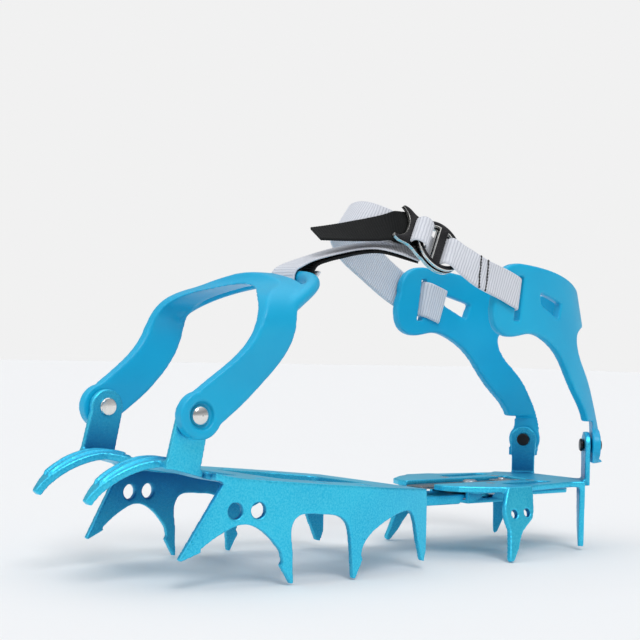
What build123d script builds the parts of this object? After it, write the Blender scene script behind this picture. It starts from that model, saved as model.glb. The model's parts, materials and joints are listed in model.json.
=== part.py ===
from build123d import *
import math
import os

# Strap-on crampon for one boot: a front frame with a toe bail, a heel frame with a heel cradle,
# a link bar between the frames that sets the length, and webbing with a two-ring buckle.
# X is across the foot ("near" is the +X side, "far" the -X side), +Y runs to the heel and +Z is
# up. The origin is on the top face of the front plate, on the centre plane.
# All sizes are in mm. Heights (names ending in _H) are above the ground plane through the tips.

# ================================================================= driving dimensions
SEAT_H = 44.3                 # the origin
SHEET = 3.0                   # bent sheet of both frames
SLOPE = 0.0835                # fall of the front plate towards the heel (dz/dy)
HEEL_TOP_H = 35.6             # top of the heel plate
HEEL_LOW_H = HEEL_TOP_H - SHEET
FIT = 0.06                    # radial clearance of the running fits
SNUG = 0.02                   # clearance of the fixed fits
REACH = 60                    # distance from the origin that clears the parts, for cutting

# Toe bail pivot
TOE_Y, TOE_H = -45.5, 73.3
POST_X = 38.1                 # outer face of the toe posts
EYE_IN_X, EYE_OUT_X = 39.0, 44.5   # faces of the bail eyes
RECESS_X = 42.1               # floor of the rivet recess in the bail eye
TOE_RIVET_R = 2.5

# Flex hinge between the front frame and the link bar
PIN_Y, PIN_H, PIN_R = 92.5, 30.0, 2.0
LUG_X = 12.45                 # inner face of the hinge lugs

# Link bar and its length setting holes
BAR_TOP_H, BAR_T, BAR_WIDTH = 29.5, 2.0, 24.0
BAR_LOW_H = BAR_TOP_H - BAR_T
HOLE_PITCH, HOLE_COUNT, HOLE_Y, HOLE_R = 8.0, 7, 152.0, 2.7

# Keeper under the heel plate, and the latch
KEEPER_LOW_H = 30.6           # lower face of the keeper's flat
KEEPER_RIVETS = [(17.4, 150), (-17.4, 150), (13.2, 183), (-13.2, 183)]
KEEPER_RIVET_R = 1.6
CLAMP_RIVETS = [(6, 181), (-6, 181)]
CLAMP_RIVET_R = 1.4
CLAMP_T = 1.8
LEAF_H, LEAF_T = HEEL_LOW_H + 0.06, 1.2   # latch leaf: lower face and thickness
FLEX_Y = 173.0                # bending line of the leaf
STUD_R = 2.1

# Rear corners of the heel frame, each turned outward from the centre plane
OUT_X, OUT_Y = 0.6098, 0.7926      # outward direction of the near corner
CORNER_X, CORNER_Y = 32.3, 201.8   # foot of the corner's own frame
CORNER_OUT = OUT_X * CORNER_X + OUT_Y * CORNER_Y
POST_OUT, POST_T = 183.2, 2.8      # inner face and thickness of the rear posts
POST_ALONG = 15.2                  # centre of the post along the corner edge
SPIKE_OUT = 181.7                  # outer face of the rear points
EYE_OUT_0, EYE_OUT_1 = 187.0, 191.2   # faces of the cradle eyes
CRADLE_H = 54.0                    # heel cradle pivot line
CRADLE_T = 5.0                     # wall of the moulded cradle
HEEL_RIVET_R = 1.9

WEB_WIDTH, WEB_T = 20.0, 1.8
LOOP_WIDTH, LOOP_T = 18.0, 1.6     # webbing end threaded through the buckle
RING_R, RING_HOLE_R, RING_T = 13.6, 11.0, 1.8
CROSS_BAR_HALF = 2.4
OUTER_RING_V, INNER_RING_V = 0.5, -2.3   # lower faces of the rings in the buckle frame


# ================================================================= helpers
def frame_z(height):
    """Z of a height above the ground plane."""
    return height - SEAT_H


def at_heights(points):
    """Turn (position, height) points into sketch points."""
    return [(position, frame_z(height)) for position, height in points]


def straight(*points, close=False):
    """Chain of straight lines through (position, height) points."""
    if len(points) == 2:
        Line(*at_heights(points))
    else:
        Polyline(*at_heights(points), close=close)


def curve(*points, **options):
    """Spline through (position, height) points."""
    Spline(*at_heights(points), **options)


def mirrored(points):
    """The points on the other side of the centre plane, in reverse order."""
    return [(-x, *rest) for x, *rest in reversed(points)]


def both_sides(x, y):
    return (x, y), (-x, y)


def add_both_sides(part):
    add(part)
    add(mirror(part, about=Plane.YZ, mode=Mode.PRIVATE))


def mirrored_pair(part):
    with BuildPart() as pair:
        add_both_sides(part)
    return pair.part


def revolved(profile, origin, x_dir, axis_dir):
    """Revolve a closed profile drawn in the upright plane that holds x_dir."""
    plane = Plane(origin=origin, x_dir=x_dir, z_dir=(x_dir[1], -x_dir[0], 0))
    with BuildPart() as solid:
        with BuildSketch(plane):
            with BuildLine():
                Polyline(*profile, close=True)
            make_face()
        revolve(axis=Axis(origin, axis_dir))
    return solid.part


def turned_across(profile, y, height):
    """Revolve (x, radius) points about a line parallel to X."""
    return revolved(profile, (0, y, frame_z(height)), (1, 0, 0), (1, 0, 0))


def turned_upright(profile, x, y):
    """Revolve (radius, height) points about an upright line."""
    return revolved(at_heights(profile), (x, y, 0), (1, 0, 0), (0, 0, 1))


# ================================================================= front frame
# outer edge of the near side along the foot: (x, y)
FRAME_EDGE = [
    (39.5, -60), (41.2, -52), (45.7, -28), (47.2, -17), (49.4, 0),
    (51.2, 33), (48.0, 60), (41.7, 83), (38.5, 92),
]


def sole_h(y):
    """Height of the flat, sloping part of the front plate."""
    return SEAT_H - SLOPE * y


def front_plate():
    """Plate: flat and sloping at the rear, curving up to the toe, with two large openings."""
    rear_y, toe_rise, notch_y = 85, 0.22, -37.5
    # upward curve of the top face: (y, height, forward shift of the lower face)
    toe_curve = [
        (-20, sole_h(-20), 0.2), (-36, 48.6, 0.6), (-47, 51.6, 0.7), (-58, 54.2, 0.7),
    ]
    top = [(y, height) for y, height, _ in toe_curve]
    bottom = [(y - shift, height - SHEET) for y, height, shift in reversed(toe_curve)]
    rear_top = (rear_y, sole_h(rear_y))
    rear_bottom = (rear_y - 0.25, sole_h(rear_y) - SHEET)
    with BuildPart() as plate:
        with BuildSketch(Plane.YZ):
            with BuildLine():
                straight(rear_top, top[0])
                curve(*top, tangents=[(-1, SLOPE), (-1, toe_rise)])
                straight(top[-1], bottom[0])
                curve(*bottom, tangents=[(1, -toe_rise), (1, -SLOPE)])
                straight(bottom[-1], rear_bottom, rear_top)
            make_face()
        extrude(amount=REACH, both=True)
        with BuildSketch(Plane.XY.offset(-REACH)):
            with BuildLine():
                edge = Spline(*FRAME_EDGE)
                mirror(edge, about=Plane.YZ)
                Line(*both_sides(*FRAME_EDGE[0]))
                Line(*both_sides(*FRAME_EDGE[-1]))
            make_face()
            # narrower between the posts, with a round notch behind each post
            with Locations(*both_sides(POST_X + 5, -58)):
                Rectangle(10, 2 * (58 + notch_y), mode=Mode.SUBTRACT)
            with Locations(*both_sides(POST_X + 0.2, -38.4)):
                Circle(2.0, mode=Mode.SUBTRACT)
            # toe edge between the front points
            with Locations((0, -60)):
                Ellipse(11.5, 7.5, mode=Mode.SUBTRACT)
            with Locations(*both_sides(39.5, -63)):
                Rectangle(12, 9, mode=Mode.SUBTRACT)
        extrude(amount=2 * REACH, mode=Mode.INTERSECT)
        # large openings between three cross bars
        front_opening = [(23, -9), (19, -41)]
        rear_opening = [(27, 9), (28, 40), (20, 64)]
        with BuildSketch(Plane.XY.offset(-REACH)):
            with BuildLine():
                Polyline(*front_opening, *mirrored(front_opening), close=True)
            make_face()
            fillet(vertices(), radius=7)
            with BuildLine():
                Polyline(*rear_opening, *mirrored(rear_opening), close=True)
            make_face()
        extrude(amount=2 * REACH, mode=Mode.SUBTRACT)
        rear_corners = edges().filter_by(Axis.Z).filter_by(
            lambda e: 8.5 < e.center().Y < 65 and abs(e.center().X) < 29
        )
        fillet(rear_corners, radius=5)
        # small lightening holes in the side rails
        for x, y in [(36, -8), (37, 24), (36, 50)]:
            with Locations(*both_sides(x, y)):
                Cylinder(3.6, 60, mode=Mode.SUBTRACT)
    return plate.part


def side_panel():
    """Curved sheet under the near edge, cut to three points and their arches."""
    inner_edge = [(x - SHEET, y) for x, y in FRAME_EDGE]
    with BuildPart() as panel:
        with BuildSketch(Plane.XY.offset(frame_z(-2))):
            with BuildLine():
                Spline(*FRAME_EDGE)
                Spline(*inner_edge)
                Line(FRAME_EDGE[0], inner_edge[0])
                Line(FRAME_EDGE[-1], inner_edge[-1])
            make_face()
        extrude(amount=52)
        # side view, (y, height): top edge and front of the first point, then the arches
        with BuildSketch(Plane.YZ.offset(REACH)):
            with BuildLine():
                straight(
                    (84.9, 36.4), (60, 38.2), (30, 40.4), (0, 43.0), (-20, 44.8), (-32.9, 46.0),
                    (-52.9, 12.9), (-51.9, 12.2), (-43.1, 15.7), (-43.6, 16.9),
                )
                curve(
                    (-43.6, 16.9), (-37, 21.6), (-30.7, 24.9), (-25.0, 26.7), (-19.5, 26.0),
                    (-13.2, 22.4), (-5.6, 14.2),
                )
                straight(
                    (-5.6, 14.2), (-4.6, 10.2), (-5.7, 8.4), (-0.5, 0.2), (0.7, 0.3), (0.2, 11),
                )
                curve(
                    (0.2, 11), (-0.7, 20), (-0.4, 25.2), (2.2, 29.0), (7.5, 30.2), (15, 29.6),
                    (23.2, 28.6), (28.2, 25.6), (30.4, 20), (31.4, 13),
                )
                straight(
                    (31.4, 13), (32.6, 0.3), (33.9, 0.0), (38.4, 8.4), (37.4, 10.4),
                )
                curve(
                    (37.4, 10.4), (40.4, 16.9), (48.6, 22.6), (57.5, 26.1), (66.5, 28.0),
                    (71.4, 27.4), (74.2, 24.2), (76.0, 19.5), (78.8, 11),
                )
                straight(
                    (78.8, 11), (81.6, 3.6), (83.6, 3.2), (85.3, 8.6), (84.9, 36.4),
                )
            make_face()
        extrude(amount=-REACH, mode=Mode.INTERSECT)
        # two holes near the toe end
        with BuildSketch(Plane.YZ.offset(REACH)):
            with Locations((-28.1, frame_z(32.7)), (-17.1, frame_z(32.6))):
                Circle(3.5)
        extrude(amount=-REACH, mode=Mode.SUBTRACT)
    return panel.part


# front points: centre line, mid-thickness curve (y, height) and plan (half width, y)
CLAW_X = 22.6
CLAW_CURVE = [
    (-87.2, 36.4), (-84.0, 40.6), (-80.0, 44.2), (-74.0, 48.0),
    (-67.0, 50.9), (-60.0, 52.4), (-53.0, 52.4), (-46.0, 50.9),
]
CLAW_PLAN = [(10.5, -44), (9.6, -58), (7.4, -68), (5.4, -77), (3.2, -84), (1.2, -90)]
# plan of a pressed rib: (distance from the claw's centre line, y)
RIB_PLAN = [(5.2, -45), (2.6, -45), (1.0, -82), (2.0, -83), (3.0, -82)]


def offset_path(points, distance):
    """Shift each point along the upward normal of the path."""
    shifted = []
    for i, (y, z) in enumerate(points):
        before, after = points[max(i - 1, 0)], points[min(i + 1, len(points) - 1)]
        run, rise = after[0] - before[0], after[1] - before[1]
        length = math.hypot(run, rise)
        shifted.append((y - rise / length * distance, z + run / length * distance))
    return shifted


def claw_layer(up, down, plan):
    """Curved layer reaching up and down from the claw curve, trimmed to a plan outline."""
    top, bottom = offset_path(CLAW_CURVE, up), offset_path(CLAW_CURVE, -down)
    with BuildPart() as layer:
        with BuildSketch(Plane.YZ.offset(5)):
            with BuildLine():
                curve(*top)
                curve(*bottom)
                straight(top[0], bottom[0])
                straight(top[-1], bottom[-1])
            make_face()
        extrude(amount=40)
        with BuildSketch(Plane.XY.offset(frame_z(20))):
            with BuildLine():
                Polyline(*plan, close=True)
            make_face()
        extrude(amount=60, mode=Mode.INTERSECT)
    return layer.part


def front_point():
    """The claw and the two ribs along its top, as separate parts."""
    outline = [(CLAW_X - x, y) for x, y in CLAW_PLAN]
    outline += [(CLAW_X + x, y) for x, y in reversed(CLAW_PLAN)]
    ribs = [
        claw_layer(2.7, 0.0, [(CLAW_X + side * x, y) for x, y in RIB_PLAN]) for side in (-1, 1)
    ]
    return [claw_layer(1.6, 1.6, outline), *ribs]


def toe_post():
    """Upright strip with a round head and a rivet hole."""
    head_h = TOE_H - 2
    with BuildPart() as post:
        with BuildSketch(Plane.YZ.offset(POST_X - SHEET)):
            with BuildLine():
                straight(
                    (-58.6, 50.6), (-41.6, 49.6), (-37.4, head_h), (-53.6, head_h), close=True
                )
            make_face()
            with Locations((TOE_Y, frame_z(TOE_H))):
                Circle(8.1)
        extrude(amount=SHEET)
        with BuildSketch(Plane.YZ.offset(POST_X)):
            with Locations((TOE_Y, frame_z(TOE_H))):
                Circle(TOE_RIVET_R + SNUG)
        extrude(amount=-10, mode=Mode.SUBTRACT)
    return post.part


def hinge_lug():
    """Lug that drops from the rear cross bar to the hinge pin."""
    with BuildPart() as lug:
        with BuildSketch(Plane.YZ.offset(LUG_X)):
            with BuildLine():
                straight(
                    (76, 35.2), (84.8, 35.4), (96.4, 31.6), (91.2, 26.0), (80, 33.4), close=True
                )
            make_face()
            with Locations((PIN_Y, frame_z(PIN_H))):
                Circle(4.2)
        extrude(amount=SHEET)
        with BuildSketch(Plane.YZ.offset(LUG_X)):
            with Locations((PIN_Y, frame_z(PIN_H))):
                Circle(PIN_R + SNUG)
        extrude(amount=SHEET, mode=Mode.SUBTRACT)
    return lug.part


def front_frame():
    plate = front_plate()
    near_pieces = [side_panel(), *front_point(), toe_post(), hinge_lug()]
    with BuildPart() as frame:
        add(plate)
        for piece in near_pieces:
            add_both_sides(piece)
    return frame.part


# ================================================================= toe bail
# front view of the inverted U, near half from the eye up to the centre plane: (x, height)
BAIL_OUTER = [
    (EYE_OUT_X, 82), (45.6, 92), (47.4, 101), (48.4, 109), (48.1, 115), (46.2, 120.4),
    (42.0, 125.6), (35.3, 130.2), (25.7, 133.9), (14.3, 136.2), (0, 137.3),
]
BAIL_INNER = [
    (EYE_IN_X, 82), (40.0, 92), (41.6, 101), (42.4, 108.5), (42.2, 112.5), (41.0, 116.8),
    (38.0, 121.0), (32.7, 124.6), (24.3, 128.0), (13.7, 130.2), (0, 131.3),
]
BAIL_FOOT_H = 60
# rear bar of the strap ring, bowed to the heel: (x, y, height) of the near half and the middle
RING_BAR = [(43.5, -5.5, 116.0), (40.5, 7, 124.6), (30.5, 21.5, 131.6), (15.5, 29.6, 134.9)]
RING_BAR_MIDDLE = (0, 32.2, 135.8)


def toe_bail():
    """Inverted U with raked arms, round eyes and a strap ring at the top."""
    with BuildPart() as bail:
        with BuildSketch(Plane.XZ.offset(-40)):
            with BuildLine():
                for side in (1, -1):
                    for edge in (BAIL_OUTER, BAIL_INNER):
                        points = [(side * x, height) for x, height in edge]
                        straight((points[0][0], BAIL_FOOT_H), points[0])
                        curve(*points, tangents=[(0, 1), (-side, 0)])
                    straight((side * EYE_IN_X, BAIL_FOOT_H), (side * EYE_OUT_X, BAIL_FOOT_H))
            make_face()
        extrude(amount=110)
        # side view of the arms and eyes: (y, height)
        with BuildSketch(Plane.YZ.offset(-REACH)):
            with BuildLine():
                curve(
                    (-47.5, 83.4), (-39.6, 89.7), (-29.8, 97.4), (-21.2, 107.6), (-16.6, 117.6),
                    (-12.5, 124.0), (-5.5, 128.6), (1.2, 131.4), (6.0, 137.0),
                )
                straight((6.0, 137.0), (6.0, 140), (15.4, 140), (15.4, 134.5))
                curve(
                    (15.4, 134.5), (12.8, 129.5), (7.5, 125.5), (2.2, 120.0), (0.4, 113.5),
                    (-1.2, 106.5), (-5.6, 97.7), (-12.7, 89.0), (-26.2, 76.4), (-36.2, 69.4),
                )
                straight((-36.2, 69.4), (-47.5, 83.4))
            make_face()
            with Locations((TOE_Y, frame_z(TOE_H))):
                Circle(10.3)
        extrude(amount=2 * REACH, mode=Mode.INTERSECT)
        with BuildLine(mode=Mode.PRIVATE) as ring_path:
            stations = [*RING_BAR, RING_BAR_MIDDLE, *mirrored(RING_BAR)]
            Spline(*[(x, y, frame_z(height)) for x, y, height in stations])
        ring_wire = ring_path.wire()
        with BuildSketch(Plane(origin=ring_wire @ 0, z_dir=ring_wire % 0)):
            Circle(3.4)
        sweep(path=ring_wire)
        # rivet bores, then the recesses for the rivet heads
        with BuildSketch(Plane.YZ.offset(REACH)):
            with Locations((TOE_Y, frame_z(TOE_H))):
                Circle(TOE_RIVET_R + FIT)
        extrude(amount=-2 * REACH, mode=Mode.SUBTRACT)
        for side in (1, -1):
            with BuildSketch(Plane.YZ.offset(side * REACH)):
                with Locations((TOE_Y, frame_z(TOE_H))):
                    Circle(6.0)
            extrude(amount=-side * (REACH - RECESS_X), mode=Mode.SUBTRACT)
    return bail.part


def toe_rivets():
    """Rivets with a flat head inside the post and a dome in the recess of the eye."""
    head_r, dome_r, dome_rise = 4.2, 4.6, 2.7
    post_inner_x = POST_X - SHEET
    dome_x = RECESS_X + 0.1
    profile = [
        (post_inner_x - 1.2, 0), (post_inner_x - 1.2, 3.8), (post_inner_x - 0.8, head_r),
        (post_inner_x, head_r), (post_inner_x, TOE_RIVET_R), (dome_x, TOE_RIVET_R),
    ]
    for angle in map(math.radians, range(90, -1, -15)):
        profile.append((dome_x + dome_rise * math.cos(angle), dome_r * math.sin(angle)))
    return mirrored_pair(turned_across(profile, TOE_Y, TOE_H))


def toe_washers():
    """Washers between the toe posts and the bail eyes."""
    inner_x, outer_x = 38.17, 38.93
    bore, rim = TOE_RIVET_R + FIT, 7.2
    profile = [(inner_x, bore), (outer_x, bore), (outer_x, rim), (inner_x, rim)]
    return mirrored_pair(turned_across(profile, TOE_Y, TOE_H))


# ================================================================= flex hinge and link bar
def hinge_pin():
    """Pin with a head outside each hinge lug."""
    head_r, head_x, end_x = 3.3, 15.5, 16.6
    half = [(end_x, 0), (end_x, head_r), (head_x, head_r), (head_x, PIN_R)]
    return turned_across([(-x, radius) for x, radius in half] + half[::-1], PIN_Y, PIN_H)


def link_bar():
    """Perforated bar with down-turned front edges and a rolled knuckle."""
    half_width = BAR_WIDTH / 2
    edge_t, edge_low_h = 1.8, 24.9
    half = [(half_width, 93.5), (half_width, 212.3), (8, 217.3)]
    with BuildPart() as bar:
        with BuildSketch(Plane.XY.offset(frame_z(BAR_LOW_H))):
            with BuildLine():
                Polyline(*half, *mirrored(half), close=True)
            make_face()
            with Locations(*[(0, HOLE_Y + HOLE_PITCH * k) for k in range(HOLE_COUNT)]):
                Circle(HOLE_R, mode=Mode.SUBTRACT)
        extrude(amount=BAR_T)
        # down-turned edges stiffen the front run
        for x in (half_width - edge_t, -half_width):
            with BuildSketch(Plane.YZ.offset(x)):
                with BuildLine():
                    straight(
                        (98, BAR_TOP_H), (99.5, edge_low_h), (133.5, edge_low_h),
                        (136, BAR_LOW_H), (136, BAR_TOP_H), close=True,
                    )
                make_face()
            extrude(amount=edge_t)
        # knuckle round the hinge pin, then its bore
        for radius, mode in ((3.7, Mode.ADD), (PIN_R + FIT, Mode.SUBTRACT)):
            with BuildSketch(Plane.YZ.offset(-half_width)):
                with Locations((PIN_Y, frame_z(PIN_H))):
                    Circle(radius)
            extrude(amount=BAR_WIDTH, mode=mode)
    return bar.part


# ================================================================= heel frame
def corner(out, along):
    """Plan point of the near rear corner: out along its outward direction, along its edge
    towards the centre plane."""
    return (
        CORNER_X + OUT_X * (out - CORNER_OUT) - OUT_Y * along,
        CORNER_Y + OUT_Y * (out - CORNER_OUT) + OUT_X * along,
    )


def corner_plane(out):
    """Upright plane across the near corner: x along the corner edge, y up, facing outward."""
    return Plane(origin=(*corner(out, 0), 0), x_dir=(-OUT_Y, OUT_X, 0), z_dir=(OUT_X, OUT_Y, 0))


# near half of the heel plate outline: (x, y)
HEEL_PLATE_HALF = [
    (17, 117), (25, 120.5), (33, 131), (36.6, 138.5), (38.6, 141.6), (38.6, 158.4),
    (36.4, 161), (30.6, 196.5), corner(SPIKE_OUT, -0.8), corner(SPIKE_OUT, 8.4),
    corner(POST_OUT + 0.6, 8.9), corner(POST_OUT + POST_T, 8.9),
    corner(POST_OUT + POST_T, 21.5), corner(180.6, 22.2),
]
# near heel point, seen from the side: (y, height)
HEEL_SPIKE = [
    (141.6, 36.0), (139.8, 33.3), (136.9, 27.5), (136.0, 23.0), (136.6, 19.0), (137.7, 15.4),
    (136.2, 8.0), (134.5, 1.6), (135.4, 0.2), (137.2, 0.4), (141.9, 6.3), (143.8, 10.2),
    (146.4, 14.0), (150.3, 16.9), (154.6, 19.8), (156.2, 23.5), (157.9, 32.5), (158.0, 36.0),
]


def heel_plate():
    with BuildPart() as plate:
        with BuildSketch(Plane.XY.offset(frame_z(HEEL_LOW_H))):
            with BuildLine():
                Polyline(*HEEL_PLATE_HALF, *mirrored(HEEL_PLATE_HALF), close=True)
            make_face()
            # slot for the latch leaf, open to the front
            with Locations((0, 152)):
                Rectangle(20.5, 71, mode=Mode.SUBTRACT)
            # oval lightening windows
            with Locations(*both_sides(23.5, 170)):
                SlotOverall(34, 9, rotation=96, mode=Mode.SUBTRACT)
        extrude(amount=SHEET)
    return plate.part


def heel_spike():
    """Splayed point with two holes and a hooked edge."""
    normal_x, normal_z = 0.967, 0.254   # normal of the splayed sheet
    middle_y, middle_h = 150, 35

    def on_sheet(y, height):
        return y - middle_y, (height - middle_h) / normal_x

    splayed = Plane(
        origin=(39.5, middle_y, frame_z(middle_h)), x_dir=(0, 1, 0), z_dir=(normal_x, 0, normal_z)
    )
    with BuildPart() as spike:
        with BuildSketch(splayed):
            with BuildLine():
                Polyline(*[on_sheet(y, height) for y, height in HEEL_SPIKE], close=True)
            make_face()
            with Locations(on_sheet(142.4, 22.6), on_sheet(151.2, 22.9)):
                Circle(2.1, mode=Mode.SUBTRACT)
        extrude(amount=-SHEET)
        split(bisect_by=Plane.XY.offset(frame_z(HEEL_TOP_H)), keep=Keep.BOTTOM)
    return spike.part


def rear_spike():
    """Point below the rear corner."""
    with BuildPart() as spike:
        with BuildSketch(corner_plane(SPIKE_OUT)):
            with BuildLine():
                straight(
                    (-0.8, HEEL_TOP_H), (-0.6, 20), (-0.2, 2.2), (0.8, 1.2), (2.0, 2.0),
                    (6.2, 12), (7.2, 20), (8.4, 30), (8.4, HEEL_TOP_H), close=True,
                )
            make_face()
        extrude(amount=-SHEET)
    return spike.part


def rear_post():
    """Post above the rear corner, with a round head and a rivet hole."""
    head_r = 7.2
    with BuildPart() as post:
        with BuildSketch(corner_plane(POST_OUT)):
            with BuildLine():
                straight(
                    (8.9, HEEL_LOW_H), (8.9, 44), (POST_ALONG - head_r, CRADLE_H),
                    (POST_ALONG + head_r, CRADLE_H), (21.5, 44), (21.5, HEEL_LOW_H), close=True,
                )
            make_face()
            with Locations((POST_ALONG, frame_z(CRADLE_H))):
                Circle(head_r)
        extrude(amount=POST_T)
        with BuildSketch(corner_plane(POST_OUT)):
            with Locations((POST_ALONG, frame_z(CRADLE_H))):
                Circle(2.75)
        extrude(amount=POST_T, mode=Mode.SUBTRACT)
    return post.part


def heel_frame():
    plate = heel_plate()
    near_pieces = [heel_spike(), rear_spike(), rear_post()]
    with BuildPart() as frame:
        add(plate)
        for piece in near_pieces:
            add_both_sides(piece)
        # keeper rivet holes, countersunk so that the boot heel rests on a flat face
        with Locations(*[(x, y, frame_z(HEEL_LOW_H)) for x, y in KEEPER_RIVETS]):
            Cylinder(KEEPER_RIVET_R + SNUG, 12, mode=Mode.SUBTRACT)
        with Locations(*[(x, y, frame_z(HEEL_TOP_H)) for x, y in KEEPER_RIVETS]):
            top_aligned = (Align.CENTER, Align.CENTER, Align.MAX)
            Cone(KEEPER_RIVET_R, 2.5, 0.9, align=top_aligned, mode=Mode.SUBTRACT)
    return frame.part


def bar_keeper():
    """Channel under the heel plate that guides the link bar."""
    wall_in, wall_out, lip_in = 12.6, 14.6, 8.6
    wall_top_h, lip_top_h, lip_low_h = 31, 27.0, 25.2
    with BuildPart() as keeper:
        with BuildSketch(Plane.XY.offset(frame_z(KEEPER_LOW_H))):
            with Locations((0, 163.5)):
                RectangleRounded(40, 53, 4)
            with Locations((0, 151)):
                SlotOverall(10.4, 5.8, rotation=90, mode=Mode.SUBTRACT)
        extrude(amount=HEEL_LOW_H - KEEPER_LOW_H - SNUG)
        with BuildSketch(Plane.XZ.offset(-137)):
            for side in (1, -1):
                with BuildLine():
                    straight(
                        (side * wall_in, wall_top_h), (side * wall_out, wall_top_h),
                        (side * wall_out, lip_low_h), (side * lip_in, lip_low_h),
                        (side * lip_in, lip_top_h), (side * wall_in, lip_top_h), close=True,
                    )
                make_face()
        extrude(amount=-33)
        # oval windows in the side walls
        with BuildSketch(Plane.YZ.offset(-30)):
            with Locations((150.5, frame_z(28.9))):
                SlotOverall(8, 2.4)
        extrude(amount=60, mode=Mode.SUBTRACT)
        for places, radius in ((KEEPER_RIVETS, KEEPER_RIVET_R), (CLAMP_RIVETS, CLAMP_RIVET_R)):
            with Locations(*[(x, y, frame_z(31)) for x, y in places]):
                Cylinder(radius + SNUG, 12, mode=Mode.SUBTRACT)
    return keeper.part


def upright_rivets(profile, places):
    """The same (radius, height) rivet at each place."""
    rivets = [turned_upright(profile, x, y) for x, y in places]
    with BuildPart() as group:
        for rivet in rivets:
            add(rivet)
    return group.part


def keeper_rivets():
    """Rivets with flush countersunk heads above and raised heads below."""
    head_r, top_h = 2.4, HEEL_TOP_H - 0.05
    profile = [
        (0, 29.8), (1.9, 29.8), (head_r, KEEPER_LOW_H), (KEEPER_RIVET_R, KEEPER_LOW_H),
        (KEEPER_RIVET_R, HEEL_TOP_H - 0.85), (head_r, top_h), (0, top_h),
    ]
    return upright_rivets(profile, KEEPER_RIVETS)


# ================================================================= length latch
def latch_leaf():
    """Spring leaf that carries the stud, tapered at its front end."""
    half = [(8, FLEX_Y - 0.3), (8, 124), (5.5, 112)]
    with BuildPart() as leaf:
        with BuildSketch(Plane.XY.offset(frame_z(LEAF_H))):
            with BuildLine():
                Polyline(*half, *mirrored(half), close=True)
            make_face()
            with Locations((0, HOLE_Y)):
                Circle(STUD_R + SNUG, mode=Mode.SUBTRACT)
        extrude(amount=LEAF_T)
        fillet(edges().filter_by(Axis.Z).filter_by(lambda e: e.center().Y < 125), radius=2)
    return leaf.part


def latch_stud():
    """Stud in the first setting hole, with a head on top of the leaf."""
    seat_h = LEAF_H + LEAF_T
    profile = [
        (0, 27.6), (STUD_R - 0.5, 27.6), (STUD_R, 28.2), (STUD_R, seat_h),
        (4.0, seat_h), (3.8, seat_h + 1.1), (2.8, seat_h + 1.7), (0, seat_h + 1.7),
    ]
    return turned_upright(profile, 0, HOLE_Y)


def latch_clamp():
    with BuildPart() as clamp:
        with BuildSketch(Plane.XY.offset(frame_z(HEEL_LOW_H))):
            with Locations((0, 180.2)):
                RectangleRounded(18, 13.6, 2)
            with Locations(*CLAMP_RIVETS):
                Circle(CLAMP_RIVET_R + SNUG, mode=Mode.SUBTRACT)
        extrude(amount=CLAMP_T)
    return clamp.part


def clamp_rivets():
    """Rivets through the clamp and the keeper."""
    shank_r, head_r, head_t = CLAMP_RIVET_R, 2.2, 0.8
    low_h, top_h = KEEPER_LOW_H, HEEL_LOW_H + CLAMP_T
    profile = [
        (0, low_h - head_t), (head_r * 0.8, low_h - head_t), (head_r, low_h), (shank_r, low_h),
        (shank_r, top_h), (head_r, top_h), (head_r * 0.75, top_h + head_t), (0, top_h + head_t),
    ]
    return upright_rivets(profile, CLAMP_RIVETS)


# ================================================================= heel cradle
CUP_Y = 150              # where the straight sides of the cup meet its rounded back


def cup_outline(height, inset):
    """Rounded back of the cup in plan; it leans forward as it rises."""
    half_width = 39.0 - inset
    depth = 240.6 - (height - 57) * 0.318 - inset - CUP_Y
    power = 2 / 2.3
    near = [(half_width, CUP_Y)]
    for angle in map(math.radians, (14, 28, 40, 50, 60, 70, 80)):
        x = half_width * math.cos(angle) ** power
        near.append((x, CUP_Y + depth * math.sin(angle) ** power))
    return near + [(0, CUP_Y + depth)] + mirrored(near)


def cup_solid(inset):
    """Solid cup, lofted from its low outline to its high one."""
    front_y = 118
    with BuildPart() as cup:
        for height in (38, 156):
            with BuildSketch(Plane.XY.offset(frame_z(height))):
                with BuildLine():
                    outline = cup_outline(height, inset)
                    half_width = outline[0][0]
                    Line((half_width, front_y), (half_width, CUP_Y))
                    Spline(*outline, tangents=[(0, 1), (0, -1)])
                    Line((-half_width, CUP_Y), (-half_width, front_y))
                    Line((-half_width, front_y), (half_width, front_y))
                make_face()
        loft()
    return cup.part


def pivot_plane(side, out, facing):
    """Plane square to the rear rivet line; facing is 1 for outward and -1 for inward."""
    x, y = corner(out, POST_ALONG)
    return Plane(
        origin=(side * x, y, frame_z(CRADLE_H)),
        x_dir=(0, 0, 1),
        z_dir=(facing * side * OUT_X, facing * OUT_Y, 0),
    )


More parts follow.
